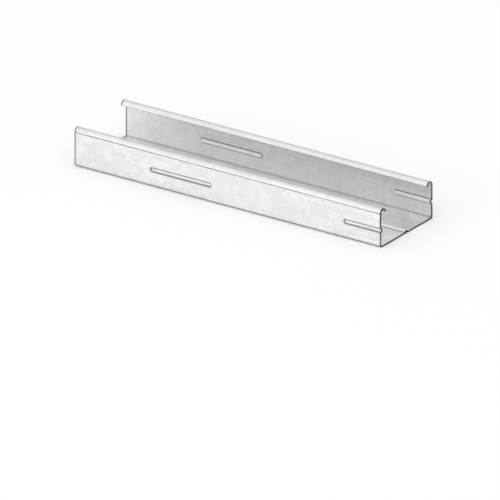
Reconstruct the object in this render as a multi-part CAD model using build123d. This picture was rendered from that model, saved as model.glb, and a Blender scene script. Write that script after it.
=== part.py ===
"""Ceiling channel: a short length of C-shaped channel for a suspended plasterboard ceiling.

One strip of zinc-coated steel sheet, cold rolled into shape. From one free edge to the other it runs
through a curled lip, a flange, a corner, the web with a groove along its middle, a corner, a flange and
a curled lip. Both flanges also have short beads, pressed inwards at an even pitch before the strip was
cut to length, so the cut at one end goes through a pair of them.

X runs along the channel, Y across it and Z up. The origin is at the middle of the length and width, on
the underside of the web. All sizes are in millimetres.
"""

from build123d import *

import math
import os
from typing import NamedTuple

# The sheet and the section, measured over the outside.
length = 242.0
width = 60.0
height = 27.0
sheet = 0.6
lip_width = 6.0
corner_radius = 2.0

# The groove that runs along the middle of the web, raised on the inside.
groove_width = 4.4
groove_depth = 1.4

# The beads in the flanges. Their height is over the underside of the web, and their places are counted
# from the end at -X to where each bead starts.
bead_length = 49.5
bead_width = 4.4
bead_depth = 1.5
bead_height = 12.0
first_bead = 59.0
bead_pitch = 153.0


class Run(NamedTuple):
    """A straight stretch of the strip's middle line."""

    distance: float


class Bend(NamedTuple):
    """A bend of the strip's middle line, to the left where the angle in degrees is positive."""

    radius: float
    angle: float


def skin(moves, start, heading, left):
    """The edges of one skin of the strip, which keeps the distance left from its middle line."""
    heading = Vector(*heading)
    here = Vector(*start) + heading.rotate(Axis.Z, 90) * left
    edges = []
    for move in moves:
        if isinstance(move, Run):
            edge = Line(here, here + heading * move.distance)
        else:
            radius = move.radius - math.copysign(1, move.angle) * left
            edge = JernArc(here, heading, radius, move.angle)
            heading = heading.rotate(Axis.Z, move.angle)
        here = edge @ 1
        edges.append(edge)
    return edges


def strip(moves, start, heading):
    """The cut face of the strip, on the XY plane, for a middle line with this start and heading."""
    left_skin = skin(moves, start, heading, sheet / 2)
    right_skin = skin(moves, start, heading, -sheet / 2)
    near_cut = Line(left_skin[0] @ 0, right_skin[0] @ 0)
    far_cut = Line(left_skin[-1] @ 1, right_skin[-1] @ 1)
    return make_face([*left_skin, far_cut, *right_skin, near_cut])


def falling_half(ridge_width, ridge_depth):
    """The two bends, of one radius, from the crown of a rounded ridge down to the flat sheet."""
    half_width = ridge_width / 2
    radius = (half_width**2 + ridge_depth**2) / (4 * ridge_depth)
    slope = 2 * math.degrees(math.atan2(ridge_depth, half_width))
    return [Bend(radius, -slope), Bend(radius, slope)]


def whole_ridge(ridge_width, ridge_depth):
    """The bends of a rounded ridge from flat sheet to flat sheet, raised to the left of the strip."""
    crown, shoulder = falling_half(ridge_width, ridge_depth)
    return [shoulder, Bend(crown.radius, 2 * crown.angle), shoulder]


def rolled_section():
    """The channel's section, followed from the lip at -Y to the lip at +Y, with the inside on the left."""
    lip_radius = lip_width / 2
    lip = Bend(lip_radius - sheet / 2, 180)
    flange = Run(height - lip_radius - corner_radius)
    corner = Bend(corner_radius - sheet / 2, 90)
    half_web = Run(width / 2 - corner_radius - groove_width / 2)
    groove = whole_ridge(groove_width, groove_depth)
    moves = [lip, flange, corner, half_web, *groove, half_web, corner, flange, lip]
    free_edge = (-width / 2 + lip_width - sheet / 2, height - lip_radius)
    return strip(moves, free_edge, (0, 1))


def bead_starts():
    """Where each bead starts, for all the beads that the cut length reaches."""
    far_end = -length / 2
    count = math.ceil((length - first_bead) / bead_pitch)
    return [far_end + first_bead + i * bead_pitch for i in range(count)]


def bead(start):
    """One whole bead of the flange at -Y, in sheet of even thickness, with round ends and a flat rim."""
    middle_line = -width / 2 + sheet / 2
    round_start = start + bead_width / 2
    round_end = start + bead_length - bead_width / 2
    upper_rim = (middle_line, bead_height + bead_width / 2)
    crown = (middle_line + bead_depth, bead_height)
    down = (0, -1)
    across = strip(whole_ridge(bead_width, bead_depth), upper_rim, down)
    half_across = strip(falling_half(bead_width, bead_depth), crown, down)
    middle = extrude(Plane.YZ.offset(round_start) * across, amount=round_end - round_start)
    ends = [
        revolve(Plane.YZ.offset(x) * half_across, Axis((x, 0, bead_height), (0, 1, 0)), turn)
        for x, turn in ((round_start, 180), (round_end, -180))
    ]
    return middle + ends


def bead_window(start):
    """The outline of one bead, cut through the flange at -Y and through nothing else."""
    middle = Plane.XZ * Pos(start + bead_length / 2, bead_height)
    outline = middle * SlotOverall(bead_length, bead_width)
    return Pos(0, -width / 2 + sheet / 2, 0) * extrude(outline, amount=sheet, both=True)


def ceiling_channel():
    """The rolled strip, with the beads let into both flanges, cut to length."""
    channel = extrude(Plane.YZ.offset(-length / 2) * rolled_section(), amount=length)
    reach = Box(length, 2 * width, 2 * height)
    for start in bead_starts():
        window = bead_window(start)
        pressed = bead(start) & reach
        channel = channel - window - mirror(window, Plane.XZ)
        channel = channel + pressed + mirror(pressed, Plane.XZ)
    return channel


os.makedirs("parts", exist_ok=True)
rolled = ceiling_channel()
print("ceiling_channel:", len(rolled.solids()), "solid,", round(rolled.volume, 1), "mm3")
export_step(rolled, "parts/ceiling_channel.step")
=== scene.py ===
# %% [markdown]
# # A ceiling channel in galvanised steel
#
# The object is a short length of the C-shaped channel that plasterboard ceilings hang on. A rolling
# mill makes it from one strip of zinc-coated sheet, with no seam or weld, and a shear cuts it to length.
#
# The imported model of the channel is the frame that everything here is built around. It could be shown
# as it is, with a material on it. Its mesh is a bag of loose triangles, though, with nothing to say how
# the sheet lay flat or where it was bent, so the strip is rolled again here as clean rows of quads, to
# the same sizes and in the same place.

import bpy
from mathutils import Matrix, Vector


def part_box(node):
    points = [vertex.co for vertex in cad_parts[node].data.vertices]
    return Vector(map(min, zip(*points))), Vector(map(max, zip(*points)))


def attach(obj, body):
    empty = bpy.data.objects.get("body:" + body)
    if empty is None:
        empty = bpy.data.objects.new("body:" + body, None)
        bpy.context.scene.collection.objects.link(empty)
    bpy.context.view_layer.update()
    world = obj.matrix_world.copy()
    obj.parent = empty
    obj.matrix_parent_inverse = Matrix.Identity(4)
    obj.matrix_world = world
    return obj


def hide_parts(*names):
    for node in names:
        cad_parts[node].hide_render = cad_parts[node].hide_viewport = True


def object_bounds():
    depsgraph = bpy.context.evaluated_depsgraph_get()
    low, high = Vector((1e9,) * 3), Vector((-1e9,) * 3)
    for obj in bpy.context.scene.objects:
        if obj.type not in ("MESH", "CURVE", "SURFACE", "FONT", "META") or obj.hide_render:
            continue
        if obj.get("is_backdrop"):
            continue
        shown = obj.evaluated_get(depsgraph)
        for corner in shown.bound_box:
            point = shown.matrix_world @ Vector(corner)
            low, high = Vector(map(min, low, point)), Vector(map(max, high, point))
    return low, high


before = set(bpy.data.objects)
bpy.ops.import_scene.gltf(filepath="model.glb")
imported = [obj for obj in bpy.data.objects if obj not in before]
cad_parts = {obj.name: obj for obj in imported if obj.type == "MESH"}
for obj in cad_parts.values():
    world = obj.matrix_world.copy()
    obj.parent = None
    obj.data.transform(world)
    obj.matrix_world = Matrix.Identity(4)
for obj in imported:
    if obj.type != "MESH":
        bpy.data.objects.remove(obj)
cad_low, cad_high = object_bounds()
print("The frame's box in metres:", [round(size, 4) for size in cad_high - cad_low])

# %% [markdown]
# ## The channel's sizes
#
# The overall sizes come from the frame. Its mesh cuts the lips' round tops a few microns short, so they
# are rounded to four decimals of a metre, which is a tenth of a millimetre. The other sizes can't be
# read off a box, and they repeat the ones that the solid was made with.

# %% Sizes of the strip, the groove and the beads
MM = 0.001
DECIMALS_KEPT = 4

node_low, node_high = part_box("ceiling_channel")
length, width, height = (round(size, DECIMALS_KEPT) for size in node_high - node_low)

SIZES = {
    "Length": length,
    "Width": width,
    "Height": height,
    "Sheet": 0.6 * MM,
    "Lip Width": 6.0 * MM,
    "Corner Radius": 2.0 * MM,
    "Groove Width": 4.4 * MM,
    "Groove Depth": 1.4 * MM,
    "Bead Length": 49.5 * MM,
    "Bead Width": 4.4 * MM,
    "Bead Depth": 1.5 * MM,
    "Bead Height": 12.0 * MM,
    "First Bead": 59.0 * MM,
    "Bead Pitch": 153.0 * MM,
}
for name, size in SIZES.items():
    print(f"{name}: {size / MM:g} mm")

# %% [markdown]
# ## Sums written as sums
#
# Geometry Nodes and shaders both work things out with Math nodes, and a formula soon takes dozens of
# them. Placing each by hand hides what they say. A quantity here is one socket of a node tree that can
# be added, multiplied or divided like a number, and each sum it takes part in leaves its Math node in
# the tree. The formulas below can then be read as formulas.

# %% Quantities, and the sums they take part in
def feed(value, socket):
    """Gives a socket its value, which is a quantity from another node or a plain value."""
    if isinstance(value, Quantity):
        socket.id_data.links.new(value.socket, socket)
    else:
        socket.default_value = value


def reckon(operation, *terms):
    """The outcome of one Math node."""
    tree = next(term.socket.id_data for term in terms if isinstance(term, Quantity))
    node = tree.nodes.new("ShaderNodeMath")
    node.operation = operation
    for term, socket in zip(terms, node.inputs):
        feed(term, socket)
    return Quantity(node.outputs["Value"])


class Quantity:
    """One output of a node, which can take part in sums. Math nodes do the work."""

    def __init__(self, socket):
        self.socket = socket

    def __add__(self, other):
        return reckon("ADD", self, other)

    def __radd__(self, other):
        return reckon("ADD", other, self)

    def __sub__(self, other):
        return reckon("SUBTRACT", self, other)

    def __rsub__(self, other):
        return reckon("SUBTRACT", other, self)

    def __mul__(self, other):
        return reckon("MULTIPLY", self, other)

    def __rmul__(self, other):
        return reckon("MULTIPLY", other, self)

    def __truediv__(self, other):
        return reckon("DIVIDE", self, other)

    def __neg__(self):
        return reckon("MULTIPLY", self, -1.0)


def within(value, low, high):
    """A value held between two limits."""
    return reckon("MINIMUM", reckon("MAXIMUM", value, low), high)


print("Sums are ready: each one leaves a Math node in its tree")

# %% [markdown]
# ## Node trees with named inputs
#
# A tree of nodes is used like a function: it has named inputs, does its work and gives named outputs.
# These helpers make such a tree, place a node in one and pick one of its answers. Both kinds of tree
# use them, those that make a shape and those that make a finish.

# %% Make a node tree, and place nodes in it
import bpy

KINDS = {
    "shape": "NodeSocketGeometry",
    "number": "NodeSocketFloat",
    "count": "NodeSocketInt",
    "point": "NodeSocketVector",
    "material": "NodeSocketMaterial",
}


def new_tree(name, tree_type, takes, gives):
    """A node tree, the quantities that it takes and the sockets that it gives its answers through."""
    tree = bpy.data.node_groups.new(name, tree_type)
    for side, sockets in (("INPUT", takes), ("OUTPUT", gives)):
        for label, kind in sockets.items():
            tree.interface.new_socket(label, in_out=side, socket_type=KINDS[kind])
    taken = tree.nodes.new("NodeGroupInput").outputs
    given = tree.nodes.new("NodeGroupOutput").inputs
    return tree, {label: Quantity(taken[label]) for label in takes}, given


def add_node(tree, node_type, fed=None, **settings):
    """A node with its settings made and its inputs fed."""
    node = tree.nodes.new(node_type)
    for setting, value in settings.items():
        setattr(node, setting, value)
    for label, value in (fed or {}).items():
        feed(value, node.inputs[label])
    return node


def answer(label, tree, node_type, fed=None, **settings):
    """One output of a node, which is placed as add_node places it."""
    return Quantity(add_node(tree, node_type, fed, **settings).outputs[label])


print("Socket kinds:", ", ".join(KINDS))

# %% [markdown]
# ## One bend of the strip
#
# A rolling mill leads the flat strip through pairs of rollers, and each pair puts in one more bend. The
# tree below does the same to a row of points. It is a step of a walk across the strip: from a place and
# a heading it goes on over a given distance, while it turns by a given angle. With no turn the step is
# straight, and otherwise it is an arc. A turn too small to see is added to every step, because the sum
# for an arc divides by the turn. Every point is at its own row, and one step uses up some rows. A point
# whose row lies further on passes the whole step, and one whose row was already reached stays.
#
# The step also adds up two things that the finish needs later. One is how far the point lies from the
# strip's middle when the sheet is flat. The other is how much the outer face was stretched there. A
# turn to the left goes round the channel's inside, and stretches the outer face by half the sheet's
# thickness over the radius. A turn to the right squeezes it, and counts as nothing. The stretch swells
# from nothing where the bend starts to its full value halfway and back to nothing where it ends, so the
# points that have passed a bend carry none of it.

# %% The tree for one step of the walk
WALK_STATE = ["Rows Left", "Across", "Up", "Heading", "Flat Distance", "Stretch"]
STEP_SIZES = ["Rows", "Distance", "Turn", "Sheet"]
TINY_TURN = 1e-6


def bend_tree():
    """The tree that takes a walk one step on."""
    takes = dict.fromkeys(WALK_STATE + STEP_SIZES, "number")
    gives = dict.fromkeys(WALK_STATE, "number")
    tree, at, given = new_tree("One bend of the strip", "GeometryNodeTree", takes, gives)
    share = within(at["Rows Left"] / at["Rows"], 0.0, 1.0)
    turned = at["Turn"] * share
    half_turn = turned / 2.0 + TINY_TURN
    chord = at["Distance"] * share * reckon("SINE", half_turn) / half_turn
    towards = at["Heading"] + half_turn
    left_turn = reckon("MAXIMUM", at["Turn"], 0.0)
    full_stretch = left_turn / at["Distance"] * at["Sheet"] / 2.0
    swell = 4.0 * share * (1.0 - share)
    after = {
        "Rows Left": at["Rows Left"] - at["Rows"],
        "Across": at["Across"] + chord * reckon("COSINE", towards),
        "Up": at["Up"] + chord * reckon("SINE", towards),
        "Heading": at["Heading"] + turned,
        "Flat Distance": at["Flat Distance"] + at["Distance"] * share,
        "Stretch": at["Stretch"] + full_stretch * swell,
    }
    for label, value in after.items():
        feed(value, given[label])
    return tree


one_bend = bend_tree()


def start_walk(row, up):
    """A walk that has yet to start, for a point on this row, from this height."""
    walk = dict.fromkeys(WALK_STATE, 0.0)
    walk["Rows Left"] = row
    walk["Up"] = up
    return walk


def step_on(walk, sheet, rows, distance, turn=0.0):
    """The walk after one more step over this distance, with this turn to the left in radians."""
    tree = walk["Rows Left"].socket.id_data
    fed = {**walk, "Rows": rows, "Distance": distance, "Turn": turn, "Sheet": sheet}
    node = add_node(tree, "GeometryNodeGroup", fed, node_tree=one_bend)
    return {label: Quantity(node.outputs[label]) for label in WALK_STATE}


print("One bend takes", len(one_bend.nodes), "nodes")

# %% [markdown]
# ## A rounded ridge
#
# The groove in the web and the beads in the flanges have the same form: a crown and two shoulders, all
# arcs of one radius that meet at a tangent. Two steps of the walk lead from the middle of the crown
# down to the flat sheet. The radius and the slope where the arcs meet follow from the ridge's width and
# depth.

# %% From the crown of a ridge down to the flat sheet
def down_a_ridge(walk, sheet, rows, ridge_width, ridge_depth):
    """The walk from the crown of a ridge to its foot, with this many rows for each of the two bends."""
    half_width = ridge_width / 2.0
    radius = (half_width * half_width + ridge_depth * ridge_depth) / (4.0 * ridge_depth)
    slope = 2.0 * reckon("ARCTAN2", ridge_depth, half_width)
    walk = step_on(walk, sheet, rows, radius * slope, -slope)
    return step_on(walk, sheet, rows, radius * slope, slope)


print("A ridge takes two steps on each side of its crown")

# %% [markdown]
# ## Across the strip
#
# The section is the same on both sides of the web's middle, so one walk serves for both: it starts on
# the crown of the groove and passes the web, the corner, the flange and the lip. The flange is walked
# in three parts, because the middle one, where the beads go, needs more rows than the flat sheet over
# and under it.

# %% The walk across the strip
import math


def walk_across(row, size, rows):
    """The walk from the middle of the web to a point's own row."""
    quarter_turn = math.pi / 2
    half_turn = math.pi
    sheet = size["Sheet"]
    lip_radius = size["Lip Width"] / 2.0
    corner_arc = (size["Corner Radius"] - sheet / 2.0) * quarter_turn
    lip_arc = (lip_radius - sheet / 2.0) * half_turn
    half_web = size["Width"] / 2.0 - size["Corner Radius"] - size["Groove Width"] / 2.0
    bead_foot = size["Bead Height"] - size["Bead Width"] / 2.0
    bead_top = size["Bead Height"] + size["Bead Width"] / 2.0

    walk = start_walk(row, sheet / 2.0 + size["Groove Depth"])
    walk = down_a_ridge(walk, sheet, rows["Bend"], size["Groove Width"], size["Groove Depth"])
    walk = step_on(walk, sheet, rows["Flat"], half_web)
    walk = step_on(walk, sheet, rows["Bend"], corner_arc, quarter_turn)
    walk = step_on(walk, sheet, rows["Flat"], bead_foot - size["Corner Radius"])
    walk = step_on(walk, sheet, 2.0 * rows["Bead"], size["Bead Width"])
    walk = step_on(walk, sheet, rows["Flat"], size["Height"] - lip_radius - bead_top)
    return step_on(walk, sheet, 2.0 * rows["Bend"], lip_arc, half_turn)


def rows_across(rows):
    """How many rows that walk has, from the middle of the web to the free edge."""
    return 5.0 * rows["Bend"] + 3.0 * rows["Flat"] + 2.0 * rows["Bead"]


print("The walk across the strip has 8 steps on each side")

# %% [markdown]
# ## Along the strip
#
# The mill presses the beads at an even pitch and cuts the strip afterwards, so the columns of points
# follow the same pattern over and over: a plain stretch, a bead's round start, its straight part and
# its round end. A column past either end of the strip is held at that end, where it falls together with
# its neighbours and is merged with them. That is the cut, and it goes through the second pair of beads.

# %% The places of the columns
def plain_stretch(size):
    """How far it is from the end of one bead to the start of the next."""
    return size["Bead Pitch"] - size["Bead Length"]


def pattern_count(size):
    """How many patterns it takes to pass the far end of the strip."""
    patterns_start = size["First Bead"] - plain_stretch(size)
    return reckon("FLOOR", (size["Length"] - patterns_start) / size["Bead Pitch"]) + 1.0


def columns_in_a_pattern(rows):
    """How many columns one plain stretch and one bead have together."""
    return rows["Plain"] + 2.0 * rows["Bead"] + rows["Straight"]


def walk_along(column, size, rows):
    """A column's place along the strip, and where the bead of its pattern starts."""
    round_part = size["Bead Width"] / 2.0
    stretches = [
        (rows["Plain"], plain_stretch(size)),
        (rows["Bead"], round_part),
        (rows["Straight"], size["Bead Length"] - 2.0 * round_part),
        (rows["Bead"], round_part),
    ]
    pattern_columns = columns_in_a_pattern(rows)
    pattern = reckon("FLOOR", column / pattern_columns)
    bead_start = size["First Bead"] + pattern * size["Bead Pitch"]
    columns_left = column - pattern * pattern_columns
    place = bead_start - plain_stretch(size)
    for columns, distance in stretches:
        place = place + distance * within(columns_left / columns, 0.0, 1.0)
        columns_left = columns_left - columns
    return within(place, 0.0, size["Length"]), bead_start


print(f"One pattern of columns is {SIZES['Bead Pitch'] / MM:g} mm long")

# %% [markdown]
# ## Pressing a bead
#
# On a plain grid a bead's round end would be made of steps. The points round a bead are moved onto
# rings instead. A point that is three rows or three columns away from the middle belongs to ring three,
# and is drawn in from the square to the circle of that ring, so the rows bend round the end of the
# bead. The size and the depth of each ring come from the same walk down a ridge as the groove's.
#
# The sums leave a ring's number a hair off the whole number that it stands for. A hundredth of a ring is
# allowed for that, and it also keeps the middle of the bead, on ring nought, from dividing by nought.

# %% Where a bead moves a point to
RING_ALLOWANCE = 0.01


def press_bead(place, up, bead_start, size, rows):
    """Where a bead takes a point along and up the flange, how deep, and how far it stretches it."""
    half_width = size["Bead Width"] / 2.0
    ring_width = half_width / rows["Bead"]
    middle = within(place, bead_start + half_width, bead_start + size["Bead Length"] - half_width)
    columns_off = (place - middle) / ring_width
    rows_off = (up - size["Bead Height"]) / ring_width
    ring = reckon("MAXIMUM", reckon("ABSOLUTE", columns_off), reckon("ABSOLUTE", rows_off))
    spoke = reckon("SQRT", columns_off * columns_off + rows_off * rows_off)
    spoke = reckon("MAXIMUM", spoke, RING_ALLOWANCE)

    walk = start_walk(ring, size["Bead Depth"])
    walk = down_a_ridge(
        walk, size["Sheet"], rows["Bead"] / 2.0, size["Bead Width"], size["Bead Depth"]
    )

    pressed = reckon("LESS_THAN", ring, rows["Bead"] + RING_ALLOWANCE)
    ring_place = middle + walk["Across"] * columns_off / spoke
    ring_up = size["Bead Height"] + walk["Across"] * rows_off / spoke
    return (
        place + pressed * (ring_place - place),
        up + pressed * (ring_up - up),
        pressed * walk["Up"],
        pressed * walk["Stretch"],
    )


print("A bead is a set of rings round a straight middle")

# %% [markdown]
# ## The flat strip
#
# A section swept along a line would be the shortest way to make a channel, but a sweep can't change the
# section where a bead is. The strip starts as a flat grid instead, as it does in the mill. The grid's
# cells are one unit wide, so that each point's own coordinates are the numbers of its column and its
# row. A bend or a bead gets more rows than a flat stretch, because it has to look round.

# %% The grid that the strip is rolled from
ROWS = {
    "Bend Rows": 8,
    "Flat Rows": 4,
    "Bead Rows": 12,
    "Plain Rows": 18,
    "Straight Rows": 8,
}


def flat_grid(tree, column_count, row_count):
    """A flat grid, each point's column, counted from the start, and its row, from the middle."""
    last_column = column_count - 1.0
    grid_size = {
        "Size X": last_column,
        "Size Y": row_count - 1.0,
        "Vertices X": column_count,
        "Vertices Y": row_count,
    }
    grid = answer("Mesh", tree, "GeometryNodeMeshGrid", grid_size)
    here = answer("Position", tree, "GeometryNodeInputPosition")
    number = add_node(tree, "ShaderNodeSeparateXYZ", {"Vector": here}).outputs
    column = reckon("ROUND", Quantity(number["X"]) + last_column / 2.0)
    row = reckon("ROUND", Quantity(number["Y"]))
    return grid, column, row


print(", ".join(f"{label}: {count}" for label, count in ROWS.items()))

# %% [markdown]
# ## The whole strip
#
# The walks turn the numbers of a point's column and row into its place on the middle of the sheet. While
# the grid is still flat, two things are stored on it for the finish: a UV map that is the strip rolled
# out flat, in metres, and how much the outer face was stretched at each point. Then the points are
# moved, and those that were held at an end of the strip are merged there.

# %% The tree that rolls the strip
MERGE_DISTANCE = 0.001 * MM


def pass_on(strip, node_type, fed=None, **settings):
    """The strip after one more node has worked on it."""
    tree = strip.socket.id_data
    return answer("Geometry", tree, node_type, {"Geometry": strip, **(fed or {})}, **settings)


def channel_tree():
    """The tree that makes the middle surface of the strip."""
    takes = {**dict.fromkeys(SIZES, "number"), **dict.fromkeys(ROWS, "count"), "Finish": "material"}
    tree, size, given = new_tree("Rolled channel", "GeometryNodeTree", takes, {"Strip": "shape"})
    rows = {label.removesuffix(" Rows"): size[label] for label in ROWS}
    all_columns = pattern_count(size) * columns_in_a_pattern(rows)
    all_rows = 2.0 * rows_across(rows) + 1.0
    strip, column, row = flat_grid(tree, all_columns, all_rows)
    side = reckon("SIGN", row)

    across = walk_across(reckon("ABSOLUTE", row), size, rows)
    place, bead_start = walk_along(column, size, rows)
    flat = {"X": place, "Y": side * across["Flat Distance"]}
    rolled_out = answer("Vector", tree, "ShaderNodeCombineXYZ", flat)
    place, up, depth, bead_stretch = press_bead(place, across["Up"], bead_start, size, rows)
    bent = {"X": place - size["Length"] / 2.0, "Y": side * (across["Across"] - depth), "Z": up}
    rolled_up = answer("Vector", tree, "ShaderNodeCombineXYZ", bent)

    to_store = [
        ("Rolled Out", "FLOAT2", "CORNER", rolled_out),
        ("stretch", "FLOAT", "POINT", across["Stretch"] + bead_stretch),
    ]
    for label, data_type, domain, value in to_store:
        fed = {"Name": label, "Value": value}
        store = "GeometryNodeStoreNamedAttribute"
        strip = pass_on(strip, store, fed, data_type=data_type, domain=domain)
    strip = pass_on(strip, "GeometryNodeSetPosition", {"Position": rolled_up})
    strip = pass_on(strip, "GeometryNodeMergeByDistance", {"Distance": MERGE_DISTANCE})
    strip = pass_on(strip, "GeometryNodeSetShadeSmooth")
    strip = pass_on(strip, "GeometryNodeRealizeInstances")
    strip = pass_on(strip, "GeometryNodeSetMaterial", {"Material": size["Finish"]})
    feed(strip, given["Strip"])
    return tree


rolling = channel_tree()
print("The rolling tree has", len(rolling.nodes), "nodes")

# %% [markdown]
# ## Give it its thickness
#
# The tree gives the middle of the sheet, so Solidify can add the same thickness on both sides of it,
# which is how a bent sheet really behaves. It puts the faces of the cut in the next material slot,
# because there the steel is bare. Bevel takes the razor edge off the cut, as shearing does, and
# Weighted Normal keeps the large faces flat next to that small rounding.

# %% The modifiers that roll and thicken the strip
CUT_EDGE_ROUNDING = 0.05 * MM
CUT_EDGE_SEGMENTS = 2
SHARPEST_BEND = math.radians(40)


def set_inputs(modifier, values):
    """Sets a tree's inputs on its modifier, where they are known by identifier and not by name."""
    identifiers = {
        item.name: item.identifier
        for item in modifier.node_group.interface.items_tree
        if item.item_type == "SOCKET" and item.in_out == "INPUT"
    }
    for label, value in values.items():
        modifier[identifiers[label]] = value


def add_modifiers(strip, sheet_finish):
    """The modifiers that turn an empty object into the channel."""
    roll = strip.modifiers.new("Roll", "NODES")
    roll.node_group = rolling
    set_inputs(roll, {**SIZES, **ROWS, "Finish": sheet_finish})
    thicken = strip.modifiers.new("Sheet", "SOLIDIFY")
    thicken.thickness = SIZES["Sheet"]
    thicken.offset = 0.0
    thicken.use_even_offset = True
    thicken.material_offset_rim = 1
    soften = strip.modifiers.new("Cut", "BEVEL")
    soften.width = CUT_EDGE_ROUNDING
    soften.segments = CUT_EDGE_SEGMENTS
    soften.limit_method = "ANGLE"
    soften.angle_limit = SHARPEST_BEND
    flatten = strip.modifiers.new("Flat faces", "WEIGHTED_NORMAL")
    flatten.keep_sharp = True


print("Bends up to", round(math.degrees(SHARPEST_BEND)), "degrees a row stay smooth")

# %% [markdown]
# ## Bake the strip
#
# The outcome is baked into a plain mesh, and the modifiers go. Set Material leaves the first slot of a
# mesh that had none empty, so the sheet comes out in the second slot and the cut in the third. The
# empty one is dropped once the mesh is baked.

# %% Roll the strip and bake it
import numpy as np


def bake(strip, finishes):
    """Works an object's modifiers into its mesh, and leaves the mesh these finishes alone."""
    depsgraph = bpy.context.evaluated_depsgraph_get()
    baked = bpy.data.meshes.new_from_object(
        strip.evaluated_get(depsgraph), preserve_all_data_layers=True, depsgraph=depsgraph
    )
    strip.modifiers.clear()
    strip.data = baked
    baked.name = strip.name
    slots = np.empty(len(baked.polygons), np.int32)
    baked.polygons.foreach_get("material_index", slots)
    baked.materials.clear()
    for finish in finishes:
        baked.materials.append(finish)
    baked.polygons.foreach_set("material_index", slots - 1)


def roll_strip(name, sheet_finish, cut_finish):
    """The channel as one plain mesh with two materials, the sheet's and that of its cut edges."""
    blank = bpy.data.meshes.new("blank")
    for slot_finish in (None, sheet_finish, cut_finish):
        blank.materials.append(slot_finish)
    strip = bpy.data.objects.new(name, blank)
    bpy.context.scene.collection.objects.link(strip)
    add_modifiers(strip, sheet_finish)
    bake(strip, (sheet_finish, cut_finish))
    return strip


print("The strip can be rolled, once it has its finishes")

# %% [markdown]
# ## Effects that both finishes share
#
# The sheet and its cut edges are finished in different ways, but both are a little cloudy, and both
# have fine lines: the sheet from the rolls and the cut from the blades. Each effect is a shader group
# with named inputs, placed in each material with its own values. Its tone is noise, which lies about a
# half, and the half is taken off where the effect is used. An effect then adds as much as it takes
# away, and a finish is a starting value with each effect added by its own weight.

# %% The cloudy effect and the fine lines
CLOUD_DETAIL = 4.0
LINE_DETAIL = 3.0
MIDDLE_TONE = 0.5


def cloudy_tree():
    """Soft patches, as a number about a half."""
    takes = {"Point": "point", "Patches per Metre": "number"}
    tree, taken, given = new_tree("Cloudy", "ShaderNodeTree", takes, {"Tone": "number"})
    fed = {"Vector": taken["Point"], "Scale": taken["Patches per Metre"], "Detail": CLOUD_DETAIL}
    feed(answer("Fac", tree, "ShaderNodeTexNoise", fed), given["Tone"])
    return tree


def fine_lines_tree():
    """Fine lines that run along the first axis of the point, as a number about a half."""
    takes = {"Point": "point", "Along per Metre": "number", "Across per Metre": "number"}
    tree, taken, given = new_tree("Fine Lines", "ShaderNodeTree", takes, {"Tone": "number"})
    across = taken["Across per Metre"]
    sides = {"X": taken["Along per Metre"], "Y": across, "Z": across}
    scaled = add_node(tree, "ShaderNodeVectorMath", operation="MULTIPLY")
    feed(taken["Point"], scaled.inputs[0])
    feed(answer("Vector", tree, "ShaderNodeCombineXYZ", sides), scaled.inputs[1])
    fed = {"Vector": Quantity(scaled.outputs["Vector"]), "Scale": 1.0, "Detail": LINE_DETAIL}
    feed(answer("Fac", tree, "ShaderNodeTexNoise", fed), given["Tone"])
    return tree


cloudy = cloudy_tree()
fine_lines = fine_lines_tree()


def effect(tree, group, fed):
    """What a shared effect adds at each point, as a number about nought."""
    return answer("Tone", tree, "ShaderNodeGroup", fed, node_tree=group) - MIDDLE_TONE


def add_effects(start, weights, effects):
    """A starting value, and each effect added to it by its own weight."""
    total = start
    for name, weight in weights.items():
        total = total + weight * effects[name]
    return total


print("Shared effects:", cloudy.name, "and", fine_lines.name)

# %% [markdown]
# ## What makes a finish
#
# Every finish here is one Principled shader. On the channel, the effects above change its colour and its
# roughness from point to point, and they press a shallow relief into it, which a Bump node turns into
# light and shade. The floor takes the plain shader as it is.

# %% Start a finish, mix its colours and press its relief
RELIEF_STRENGTH = 0.5


def new_finish(name, metallic):
    """A material, its tree and its shader."""
    finish = bpy.data.materials.new(name)
    finish.use_nodes = True
    shader = finish.node_tree.nodes["Principled BSDF"]
    feed(metallic, shader.inputs["Metallic"])
    return finish, finish.node_tree, shader


def mix_colours(tree, share, first, second):
    """A colour that goes from the first to the second."""
    node = add_node(tree, "ShaderNodeMix", data_type="RGBA")
    feed(share, node.inputs["Factor"])
    colours = [socket for socket in node.inputs if socket.type == "RGBA"]
    feed(first, colours[0])
    feed(second, colours[1])
    return Quantity(next(socket for socket in node.outputs if socket.type == "RGBA"))


def press_relief(tree, shader, relief, depth):
    """Gives a shader a relief of this depth."""
    fed = {"Height": relief, "Distance": depth, "Strength": RELIEF_STRENGTH}
    feed(answer("Normal", tree, "ShaderNodeBump", fed), shader.inputs["Normal"])


print("A relief is shown at", RELIEF_STRENGTH, "of its full strength")

# %% [markdown]
# ## The marks of the machines
#
# The machines leave two dark marks on the zinc. The rollers press a thin line along the foot of each
# lip and along its free edge, which is at the same height. The shear bruises the zinc next to its cut.
# Each mark fades towards its reach, and one with a strength over 1 stays full for a part of that. They
# are narrower than most of the mesh's cells, so they can't be stored on its points as the stretch is.
# They lie at a known height and a known length, and are worked out from the object's own coordinates.

# %% Where the machines mark the sheet
ROLL_MARK_REACH = 0.45 * MM
ROLL_MARK_STRENGTH = 0.9
SHEAR_BRUISE_REACH = 1.2 * MM
SHEAR_BRUISE_STRENGTH = 1.4


def fading(distance, reach, strength):
    """How strong a mark is at this distance from its middle."""
    return strength * within(1.0 - distance / reach, 0.0, 1.0)


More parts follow.
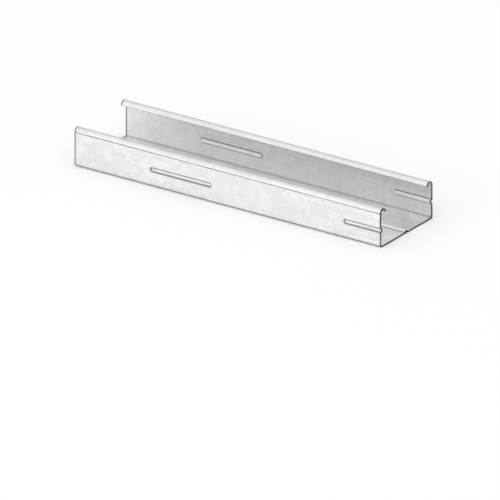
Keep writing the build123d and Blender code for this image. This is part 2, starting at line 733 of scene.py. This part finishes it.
def machine_marks(tree):
    """How strongly the rollers and the shear have marked each point."""
    place = answer("Object", tree, "ShaderNodeTexCoord")
    place = add_node(tree, "ShaderNodeSeparateXYZ", {"Vector": place}).outputs
    lip_foot = SIZES["Height"] - SIZES["Lip Width"] / 2.0
    off_lip_foot = reckon("ABSOLUTE", Quantity(place["Z"]) - lip_foot)
    off_cut = SIZES["Length"] / 2.0 - reckon("ABSOLUTE", Quantity(place["X"]))
    rolled = fading(off_lip_foot, ROLL_MARK_REACH, ROLL_MARK_STRENGTH)
    sheared = fading(off_cut, SHEAR_BRUISE_REACH, SHEAR_BRUISE_STRENGTH)
    return reckon("MAXIMUM", rolled, sheared)


print("The shear's bruise reaches", round(SHEAR_BRUISE_REACH / MM, 2), "mm into the sheet")

# %% [markdown]
# ## The zinc coat
#
# Hot-dip zinc on thin strip is pale grey and satin. It freezes into small crystals that each turn the
# light a little differently, and the rolls leave faint lines along the strip. The crystals are the
# cells of a Voronoi texture, each with a tone of its own, which never repeat as a picture of zinc would.
# The lines follow the sheet round its bends, so they read the UV map that was stored while the strip
# was flat. The crystals read it too, because they froze before the strip was bent.
#
# Where a bend stretches the coat, it crazes and looks duller. Its colour is also darkened there, which
# is
# painted shade along the bends: that draws a dark line along the corners and a rim round each bead, on
# both faces of the sheet. Both go by the square of the stretch, so a gentle bend stays nearly clean.

# %% The finish of the sheet
CRYSTALS_PER_METRE = 260.0
CLOUDS_PER_METRE = 45.0
ROLL_LINES = {"Along per Metre": 7.0, "Across per Metre": 900.0}
DEEP_ZINC = (0.744, 0.747, 0.753, 1.0)
PALE_ZINC = (0.906, 0.908, 0.912, 1.0)
PALE_SHARE = 0.5
PALE_SHARE_EFFECTS = {"crystals": 0.5, "clouds": 0.9, "lines": 1.1}
# Painted shade: the dark colour that the bends go towards, for the crazed coat and the shade in the
# bends.
CRAZED_ZINC_AND_BEND_SHADE = (0.3, 0.302, 0.306, 1.0)
BEND_SHADE_AND_CRAZING_STRETCH = 0.2
MARKED_ZINC = (0.05, 0.0505, 0.052, 1.0)
MARK_EFFECTS = {"clouds": 1.2, "lines": 0.8}
ZINC_ROUGHNESS = 0.46
ZINC_ROUGHNESS_EFFECTS = {"crystals": 0.1, "lines": 0.2, "clouds": 0.1, "crazing_and_bend_shade": 0.1}
ZINC_RELIEF_EFFECTS = {"crystals": 0.3, "lines": 1.0, "clouds": 0.5}
ZINC_RELIEF_DEPTH = 0.01 * MM


def zinc_effects(tree):
    """What varies over the sheet: its crystals, its clouds, the lines of the rolls, and the crazing with
    the painted shade along its bends.
    """
    flat = answer("UV", tree, "ShaderNodeUVMap", uv_map="Rolled Out")
    cells = {"Vector": flat, "Scale": CRYSTALS_PER_METRE}
    crystals = answer("Color", tree, "ShaderNodeTexVoronoi", cells)
    crystals = answer("Red", tree, "ShaderNodeSeparateColor", {"Color": crystals})
    stretch = answer("Fac", tree, "ShaderNodeAttribute", attribute_name="stretch")
    # Where the crazing and the painted shade along the bends lie, by the square of the stretch.
    crazing_and_bend_shade = within(stretch / BEND_SHADE_AND_CRAZING_STRETCH, 0.0, 1.0)
    return {
        "crystals": crystals - MIDDLE_TONE,
        "clouds": effect(tree, cloudy, {"Point": flat, "Patches per Metre": CLOUDS_PER_METRE}),
        "lines": effect(tree, fine_lines, {"Point": flat, **ROLL_LINES}),
        "crazing_and_bend_shade": crazing_and_bend_shade * crazing_and_bend_shade,
    }


def zinc_coat():
    """The zinc-coated sheet."""
    finish, tree, shader = new_finish("zinc_coat", metallic=1.0)
    effects = zinc_effects(tree)
    pale_share = add_effects(PALE_SHARE, PALE_SHARE_EFFECTS, effects)
    sound = mix_colours(tree, pale_share, DEEP_ZINC, PALE_ZINC)
    # Painted shade: the sheet's colour goes dark along its bends, where the coat also crazes.
    coat = mix_colours(tree, effects["crazing_and_bend_shade"], sound, CRAZED_ZINC_AND_BEND_SHADE)
    marked = add_effects(1.0, MARK_EFFECTS, effects) * machine_marks(tree)
    feed(mix_colours(tree, marked, coat, MARKED_ZINC), shader.inputs["Base Color"])
    roughness = add_effects(ZINC_ROUGHNESS, ZINC_ROUGHNESS_EFFECTS, effects)
    feed(roughness, shader.inputs["Roughness"])
    relief = add_effects(0.0, ZINC_RELIEF_EFFECTS, effects)
    press_relief(tree, shader, relief, ZINC_RELIEF_DEPTH)
    return finish


zinc = zinc_coat()
print(zinc.name, "has", len(zinc.node_tree.nodes), "nodes")

# %% [markdown]
# ## The bare cut
#
# Blades leave bare steel at the strip's edges and ends. It is dull and much darker than the zinc. The
# slitter that cut the strip from a wider one drew fine lines along the lips' free edges, and the shear
# that cut the channel to length left a fine grain on its ends.

# %% The finish of the cut edges
CUT_CLOUDS_PER_METRE = 400.0
BLADE_LINES = {"Along per Metre": 200.0, "Across per Metre": 2500.0}
DARK_STEEL = (0.012, 0.012, 0.013, 1.0)
BRIGHT_STEEL = (0.06, 0.061, 0.064, 1.0)
BRIGHT_SHARE = 0.4
BRIGHT_SHARE_EFFECTS = {"clouds": 1.0, "lines": 1.0}
CUT_ROUGHNESS = 0.5
CUT_ROUGHNESS_EFFECTS = {"clouds": 0.3}
CUT_RELIEF_DEPTH = 0.02 * MM


def cut_steel():
    """The bare steel where the sheet was cut."""
    finish, tree, shader = new_finish("cut_steel", metallic=1.0)
    place = answer("Object", tree, "ShaderNodeTexCoord")
    effects = {
        "clouds": effect(tree, cloudy, {"Point": place, "Patches per Metre": CUT_CLOUDS_PER_METRE}),
        "lines": effect(tree, fine_lines, {"Point": place, **BLADE_LINES}),
    }
    bright_share = add_effects(BRIGHT_SHARE, BRIGHT_SHARE_EFFECTS, effects)
    feed(mix_colours(tree, bright_share, DARK_STEEL, BRIGHT_STEEL), shader.inputs["Base Color"])
    roughness = add_effects(CUT_ROUGHNESS, CUT_ROUGHNESS_EFFECTS, effects)
    feed(roughness, shader.inputs["Roughness"])
    press_relief(tree, shader, effects["lines"], CUT_RELIEF_DEPTH)
    return finish


bare_cut = cut_steel()
print(bare_cut.name, "has", len(bare_cut.node_tree.nodes), "nodes")

# %% [markdown]
# ## Put the channel in place
#
# The rolled strip is already where the solid is, because both are made from the same sizes. It stands
# for the solid in every view, and it moves with the part's only body.

# %% Make the channel
channel = roll_strip("rolled_strip", zinc, bare_cut)
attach(channel, "root")
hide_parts("ceiling_channel")
channel.data.calc_loop_triangles()
print("The channel has", len(channel.data.loop_triangles), "triangles")

# %% [markdown]
# ## The floor
#
# The floor is plain and nearly white. It is left open under the channel, well inside its outline, so
# that the underside can be looked at from below. Where the two overlap, the floor is a hair lower,
# because two faces in one plane show through each other.

# %% Lay the floor
FLOOR_HALF_SIZE = 3.0
FLOOR_UNDERLAP = 4.0 * MM
FLOOR_GAP = 0.02 * MM
FLOOR_COLOUR = (0.93, 0.93, 0.93, 1.0)
FLOOR_ROUGHNESS = 0.9


def lay_floor():
    """A plain pale floor, open under the channel."""
    open_x = length / 2 - FLOOR_UNDERLAP
    open_y = width / 2 - FLOOR_UNDERLAP
    corners = [(-1, -1), (1, -1), (1, 1), (-1, 1)]
    places = [(x * FLOOR_HALF_SIZE, y * FLOOR_HALF_SIZE, -FLOOR_GAP) for x, y in corners]
    places += [(x * open_x, y * open_y, -FLOOR_GAP) for x, y in corners]
    sides = [(i, (i + 1) % 4, (i + 1) % 4 + 4, i + 4) for i in range(4)]
    mesh = bpy.data.meshes.new("floor")
    mesh.from_pydata(places, [], sides)
    paint, _, shader = new_finish("floor_paint", metallic=0.0)
    feed(FLOOR_COLOUR, shader.inputs["Base Color"])
    feed(FLOOR_ROUGHNESS, shader.inputs["Roughness"])
    mesh.materials.append(paint)
    floor = bpy.data.objects.new("floor", mesh)
    bpy.context.scene.collection.objects.link(floor)
    floor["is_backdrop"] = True


lay_floor()
print("The floor is", 2 * FLOOR_HALF_SIZE, "m wide")

# %% [markdown]
# ## The light
#
# The light is soft and white and comes from all round. It is stronger overhead, where it reaches the
# inside of the channel, and weaker behind, which darkens the far side of each curled lip. A broad light
# low in front shines on the near flange and the lips. The near flange keeps it from the inside, which
# is the darker part of the drawing too.

# %% Set the lights
from mathutils import Vector

WHITE = (1.0, 1.0, 1.0, 1.0)
SKY_STRENGTH = 0.96
OVERHEAD_GAIN = 0.3
REAR_SHADE = 0.45
SOFTBOX_PLACE = (-0.3, -1.6, 0.25)
SOFTBOX_SIZE = 0.8
SOFTBOX_WATTS = 2.5


def set_sky(strength, overhead_gain, rear_shade):
    """White light, by these shares stronger overhead and weaker behind, and even below the floor."""
    sky = bpy.data.worlds.new("soft_sky")
    sky.use_nodes = True
    tree = sky.node_tree
    direction = answer("Generated", tree, "ShaderNodeTexCoord")
    parts = add_node(tree, "ShaderNodeSeparateXYZ", {"Vector": direction}).outputs
    overhead = within(Quantity(parts["Z"]), 0.0, 1.0)
    behind = within(Quantity(parts["Y"]), 0.0, 1.0) * reckon("GREATER_THAN", overhead, 0.0)
    gain = 1.0 + overhead_gain * overhead - rear_shade * behind
    background = tree.nodes["Background"]
    feed(WHITE, background.inputs["Color"])
    feed(strength * gain, background.inputs["Strength"])
    bpy.context.scene.world = sky


def add_softbox(place, size, watts):
    """A square area light that faces the channel."""
    light = bpy.data.lights.new("softbox", "AREA")
    light.size = size
    light.energy = watts
    lamp = bpy.data.objects.new("softbox", light)
    lamp.location = place
    lamp.rotation_euler = (-Vector(place)).to_track_quat("-Z", "Y").to_euler()
    bpy.context.scene.collection.objects.link(lamp)


set_sky(SKY_STRENGTH, OVERHEAD_GAIN, REAR_SHADE)
add_softbox(SOFTBOX_PLACE, SOFTBOX_SIZE, SOFTBOX_WATTS)
bpy.context.scene.view_settings.view_transform = "Standard"
print("The sky and a softbox of", SOFTBOX_WATTS, "W are on")

# %% [markdown]
# ## The camera
#
# The drawing has parallel lines, so the camera is orthographic. Its length axis falls by 15 degrees and
# its width axis rises by 30, and only one direction of view gives both. The view's scale and its centre
# then follow from where the drawing has the two lower corners of the near flange, in pixels from the
# top left of a picture of 500 by 500.

# %% Place the camera
PICTURE_SIZE = 500
DRAWN_LENGTH_ANGLE = math.radians(15)
DRAWN_WIDTH_ANGLE = math.radians(30)
DRAWN_LEFT_CORNER = (74.55, 166.1)
DRAWN_RIGHT_CORNER = (380.8, 247.9)
CAMERA_DISTANCE = 2.0


def drawn_direction():
    """The direction from the channel back to the camera, from the drawing's two angles."""
    fall = math.tan(DRAWN_LENGTH_ANGLE)
    rise = math.tan(DRAWN_WIDTH_ANGLE)
    elevation = math.asin(math.sqrt(fall * rise))
    azimuth = math.atan(math.sqrt(fall / rise))
    print("Azimuth", round(math.degrees(azimuth), 2), "elevation", round(math.degrees(elevation), 2))
    level = math.cos(elevation)
    return Vector((math.sin(azimuth) * level, -math.cos(azimuth) * level, math.sin(elevation)))


def place_camera():
    """An orthographic camera that has the drawing's two directions and its framing."""
    back = drawn_direction()
    turn = back.to_track_quat("Z", "Y")
    right = turn @ Vector((1, 0, 0))
    up = turn @ Vector((0, 1, 0))
    left_corner = Vector((-length / 2, -width / 2, 0))
    right_corner = Vector((length / 2, -width / 2, 0))
    drawn_run = DRAWN_RIGHT_CORNER[0] - DRAWN_LEFT_CORNER[0]
    metres_per_pixel = (right_corner - left_corner).dot(right) / drawn_run
    drawn_middle = [(a + b) / 2 for a, b in zip(DRAWN_LEFT_CORNER, DRAWN_RIGHT_CORNER)]
    middle = (left_corner + right_corner) / 2
    aim_right = middle.dot(right) - (drawn_middle[0] - PICTURE_SIZE / 2) * metres_per_pixel
    aim_up = middle.dot(up) + (drawn_middle[1] - PICTURE_SIZE / 2) * metres_per_pixel

    view = bpy.data.cameras.new("drawn_view")
    view.type = "ORTHO"
    view.ortho_scale = PICTURE_SIZE * metres_per_pixel
    camera = bpy.data.objects.new("drawn_view", view)
    camera.location = aim_right * right + aim_up * up + CAMERA_DISTANCE * back
    camera.rotation_mode = "QUATERNION"
    camera.rotation_quaternion = turn
    bpy.context.scene.collection.objects.link(camera)
    bpy.context.scene.camera = camera
    print("The picture is", round(view.ortho_scale / MM, 1), "mm wide")


place_camera()

# %% [markdown]
# ## Check the size
#
# The box of the solid and that of the rolled strip are put side by side, in metres, and the largest
# difference between them is printed.

visual_low, visual_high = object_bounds()
boxes = {
    "cad": [*cad_low, *cad_high],
    "visual": [*visual_low, *visual_high],
}
differences = [abs(a - b) for a, b in zip(boxes["cad"], boxes["visual"])]
print("The two boxes differ by at most", round(max(differences) / MM, 3), "mm")
